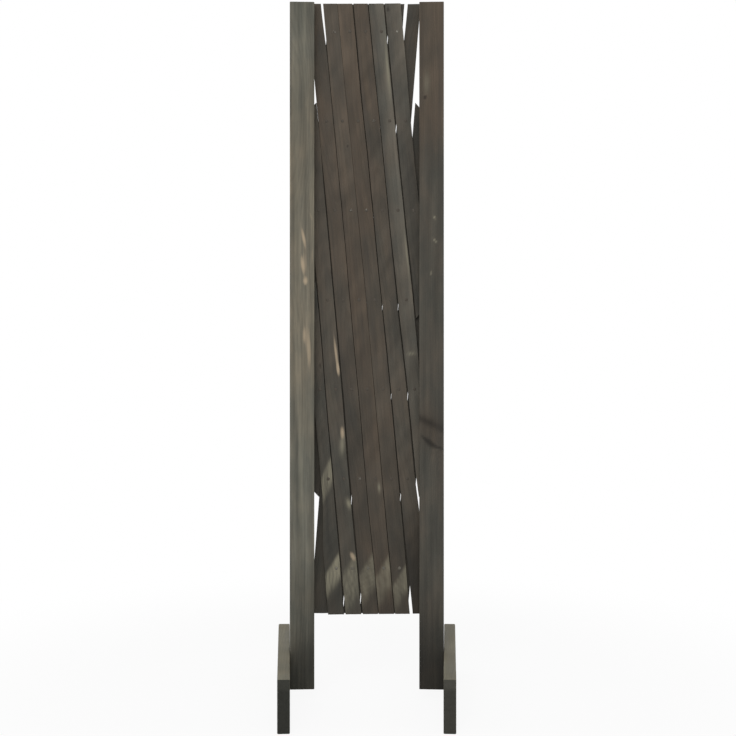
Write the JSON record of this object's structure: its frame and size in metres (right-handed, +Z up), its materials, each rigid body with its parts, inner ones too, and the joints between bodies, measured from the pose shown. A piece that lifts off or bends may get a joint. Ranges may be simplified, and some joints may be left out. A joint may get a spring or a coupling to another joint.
{
  "type": "folding lattice privacy screen",
  "caption": "Free-standing garden privacy screen: a folding scissor lattice of riveted wooden slats between posts on crosswise foot boards.",
  "frame": {"origin": "on the ground, midway between the posts and at the middle of the feet", "axes": "+Z up along the posts, +X to the right as seen from the front, +Y to the back, where the lattice lies"},
  "size_m": [0.3536, 0.3906, 1.2995],
  "materials": {
    "post_wood": "weathered brown-grey stain",
    "foot_wood": "weathered brown-grey stain, paler on top",
    "slat_wood": "worn brown-grey stain",
    "rivet_steel": "dull, partly stained over",
    "plated_steel": "zinc plated, dulled"
  },
  "bodies": {
    "left_frame": {"left_post": "post_wood", "left_foot": "foot_wood", "left_foot_screws": "plated_steel", "left_pivot_screw": "plated_steel", "left_pivot_washer": "plated_steel"},
    "front_slat_1": {"front_slat_1": "slat_wood", "rivets_1": "rivet_steel"},
    "front_slat_2": {"front_slat_2": "slat_wood", "rivets_2": "rivet_steel"},
    "front_slat_3": {"front_slat_3": "slat_wood", "rivets_3": "rivet_steel"},
    "front_slat_4": {"front_slat_4": "slat_wood", "rivets_4": "rivet_steel"},
    "front_slat_5": {"front_slat_5": "slat_wood", "rivets_5": "rivet_steel"},
    "front_slat_6": {"front_slat_6": "slat_wood", "rivets_6": "rivet_steel"},
    "front_slat_7": {"front_slat_7": "slat_wood", "rivets_7": "rivet_steel"},
    "front_slat_8": {"front_slat_8": "slat_wood", "rivets_8": "rivet_steel"},
    "rear_slat_1": {"rear_slat_1": "slat_wood"},
    "rear_slat_2": {"rear_slat_2": "slat_wood"},
    "rear_slat_3": {"rear_slat_3": "slat_wood"},
    "rear_slat_4": {"rear_slat_4": "slat_wood"},
    "rear_slat_5": {"rear_slat_5": "slat_wood"},
    "rear_slat_6": {"rear_slat_6": "slat_wood"},
    "rear_slat_7": {"rear_slat_7": "slat_wood"},
    "rear_slat_8": {"rear_slat_8": "slat_wood"},
    "right_frame": {"right_post": "post_wood", "right_foot": "foot_wood", "right_foot_screws": "plated_steel", "right_pivot_screw": "plated_steel", "right_pivot_washer": "plated_steel"}
  },
  "joints": [
    {"name": "fold", "type": "hinge", "parent": "left_frame", "child": "front_slat_1", "pos_m": [-0.1033, 0.02293, 0.7437], "axis": [0, -1, 0], "range_deg": [0, 39.68]},
    {"name": "rear_slat_1_pivot", "type": "hinge", "parent": "front_slat_1", "child": "rear_slat_1", "pos_m": [-0.1033, 0.02293, 0.7437], "axis": [0, 1, 0], "range_deg": [0, 79.8]},
    {"name": "rear_slat_2_pivot", "type": "hinge", "parent": "front_slat_1", "child": "rear_slat_2", "pos_m": [-0.08781, 0.02293, 0.57642], "axis": [0, 1, 0], "range_deg": [0, 79.8]},
    {"name": "rear_slat_3_pivot", "type": "hinge", "parent": "front_slat_1", "child": "rear_slat_3", "pos_m": [-0.07232, 0.02293, 0.40913], "axis": [0, 1, 0], "range_deg": [0, 79.8]},
    {"name": "rear_slat_4_pivot", "type": "hinge", "parent": "front_slat_1", "child": "rear_slat_4", "pos_m": [-0.05684, 0.02293, 0.24185], "axis": [0, 1, 0], "range_deg": [0, 79.8]},
    {"name": "front_slat_2_pivot", "type": "hinge", "parent": "rear_slat_4", "child": "front_slat_2", "pos_m": [-0.04281, 0.02293, 0.40926], "axis": [0, -1, 0], "range_deg": [0, 79.8]},
    {"name": "front_slat_3_pivot", "type": "hinge", "parent": "rear_slat_4", "child": "front_slat_3", "pos_m": [-0.02878, 0.02293, 0.57668], "axis": [0, -1, 0], "range_deg": [0, 79.8]},
    {"name": "front_slat_4_pivot", "type": "hinge", "parent": "rear_slat_4", "child": "front_slat_4", "pos_m": [-0.01476, 0.02293, 0.74409], "axis": [0, -1, 0], "range_deg": [0, 79.8]},
    {"name": "front_slat_5_pivot", "type": "hinge", "parent": "rear_slat_4", "child": "front_slat_5", "pos_m": [-0.00073, 0.02293, 0.9115], "axis": [0, -1, 0], "range_deg": [0, 79.8]},
    {"name": "front_slat_6_pivot", "type": "hinge", "parent": "rear_slat_4", "child": "front_slat_6", "pos_m": [0.0133, 0.02293, 1.07892], "axis": [0, -1, 0], "range_deg": [0, 79.8]},
    {"name": "front_slat_7_pivot", "type": "hinge", "parent": "rear_slat_4", "child": "front_slat_7", "pos_m": [0.02732, 0.02293, 1.24633], "axis": [0, -1, 0], "range_deg": [0, 79.8]},
    {"name": "rear_slat_5_pivot", "type": "hinge", "parent": "front_slat_7", "child": "rear_slat_5", "pos_m": [0.04281, 0.02293, 1.07904], "axis": [0, 1, 0], "range_deg": [0, 79.8]},
    {"name": "rear_slat_6_pivot", "type": "hinge", "parent": "front_slat_7", "child": "rear_slat_6", "pos_m": [0.0583, 0.02293, 0.91176], "axis": [0, 1, 0], "range_deg": [0, 79.8]},
    {"name": "rear_slat_7_pivot", "type": "hinge", "parent": "front_slat_7", "child": "rear_slat_7", "pos_m": [0.07378, 0.02293, 0.74447], "axis": [0, 1, 0], "range_deg": [0, 79.8]},
    {"name": "rear_slat_8_pivot", "type": "hinge", "parent": "front_slat_7", "child": "rear_slat_8", "pos_m": [0.08927, 0.02293, 0.57719], "axis": [0, 1, 0], "range_deg": [0, 79.8]},
    {"name": "front_slat_8_pivot", "type": "hinge", "parent": "rear_slat_8", "child": "front_slat_8", "pos_m": [0.1033, 0.02293, 0.7446], "axis": [0, -1, 0], "range_deg": [0, 79.8]},
    {"name": "right_frame_pivot", "type": "hinge", "parent": "rear_slat_8", "child": "right_frame", "pos_m": [0.1033, 0.02293, 0.7446], "axis": [0, -1, 0], "range_deg": [0, 40.12]}
  ],
  "couplings": [
    {"joint": "rear_slat_1_pivot", "follows": "fold", "ratio": 2.011},
    {"joint": "rear_slat_2_pivot", "follows": "fold", "ratio": 2.011},
    {"joint": "rear_slat_3_pivot", "follows": "fold", "ratio": 2.011},
    {"joint": "rear_slat_4_pivot", "follows": "fold", "ratio": 2.011},
    {"joint": "front_slat_2_pivot", "follows": "fold", "ratio": 2.011},
    {"joint": "front_slat_3_pivot", "follows": "fold", "ratio": 2.011},
    {"joint": "front_slat_4_pivot", "follows": "fold", "ratio": 2.011},
    {"joint": "front_slat_5_pivot", "follows": "fold", "ratio": 2.011},
    {"joint": "front_slat_6_pivot", "follows": "fold", "ratio": 2.011},
    {"joint": "front_slat_7_pivot", "follows": "fold", "ratio": 2.011},
    {"joint": "rear_slat_5_pivot", "follows": "fold", "ratio": 2.011},
    {"joint": "rear_slat_6_pivot", "follows": "fold", "ratio": 2.011},
    {"joint": "rear_slat_7_pivot", "follows": "fold", "ratio": 2.011},
    {"joint": "rear_slat_8_pivot", "follows": "fold", "ratio": 2.011},
    {"joint": "front_slat_8_pivot", "follows": "fold", "ratio": 2.011},
    {"joint": "right_frame_pivot", "follows": "fold", "ratio": 1.011}
  ]
}
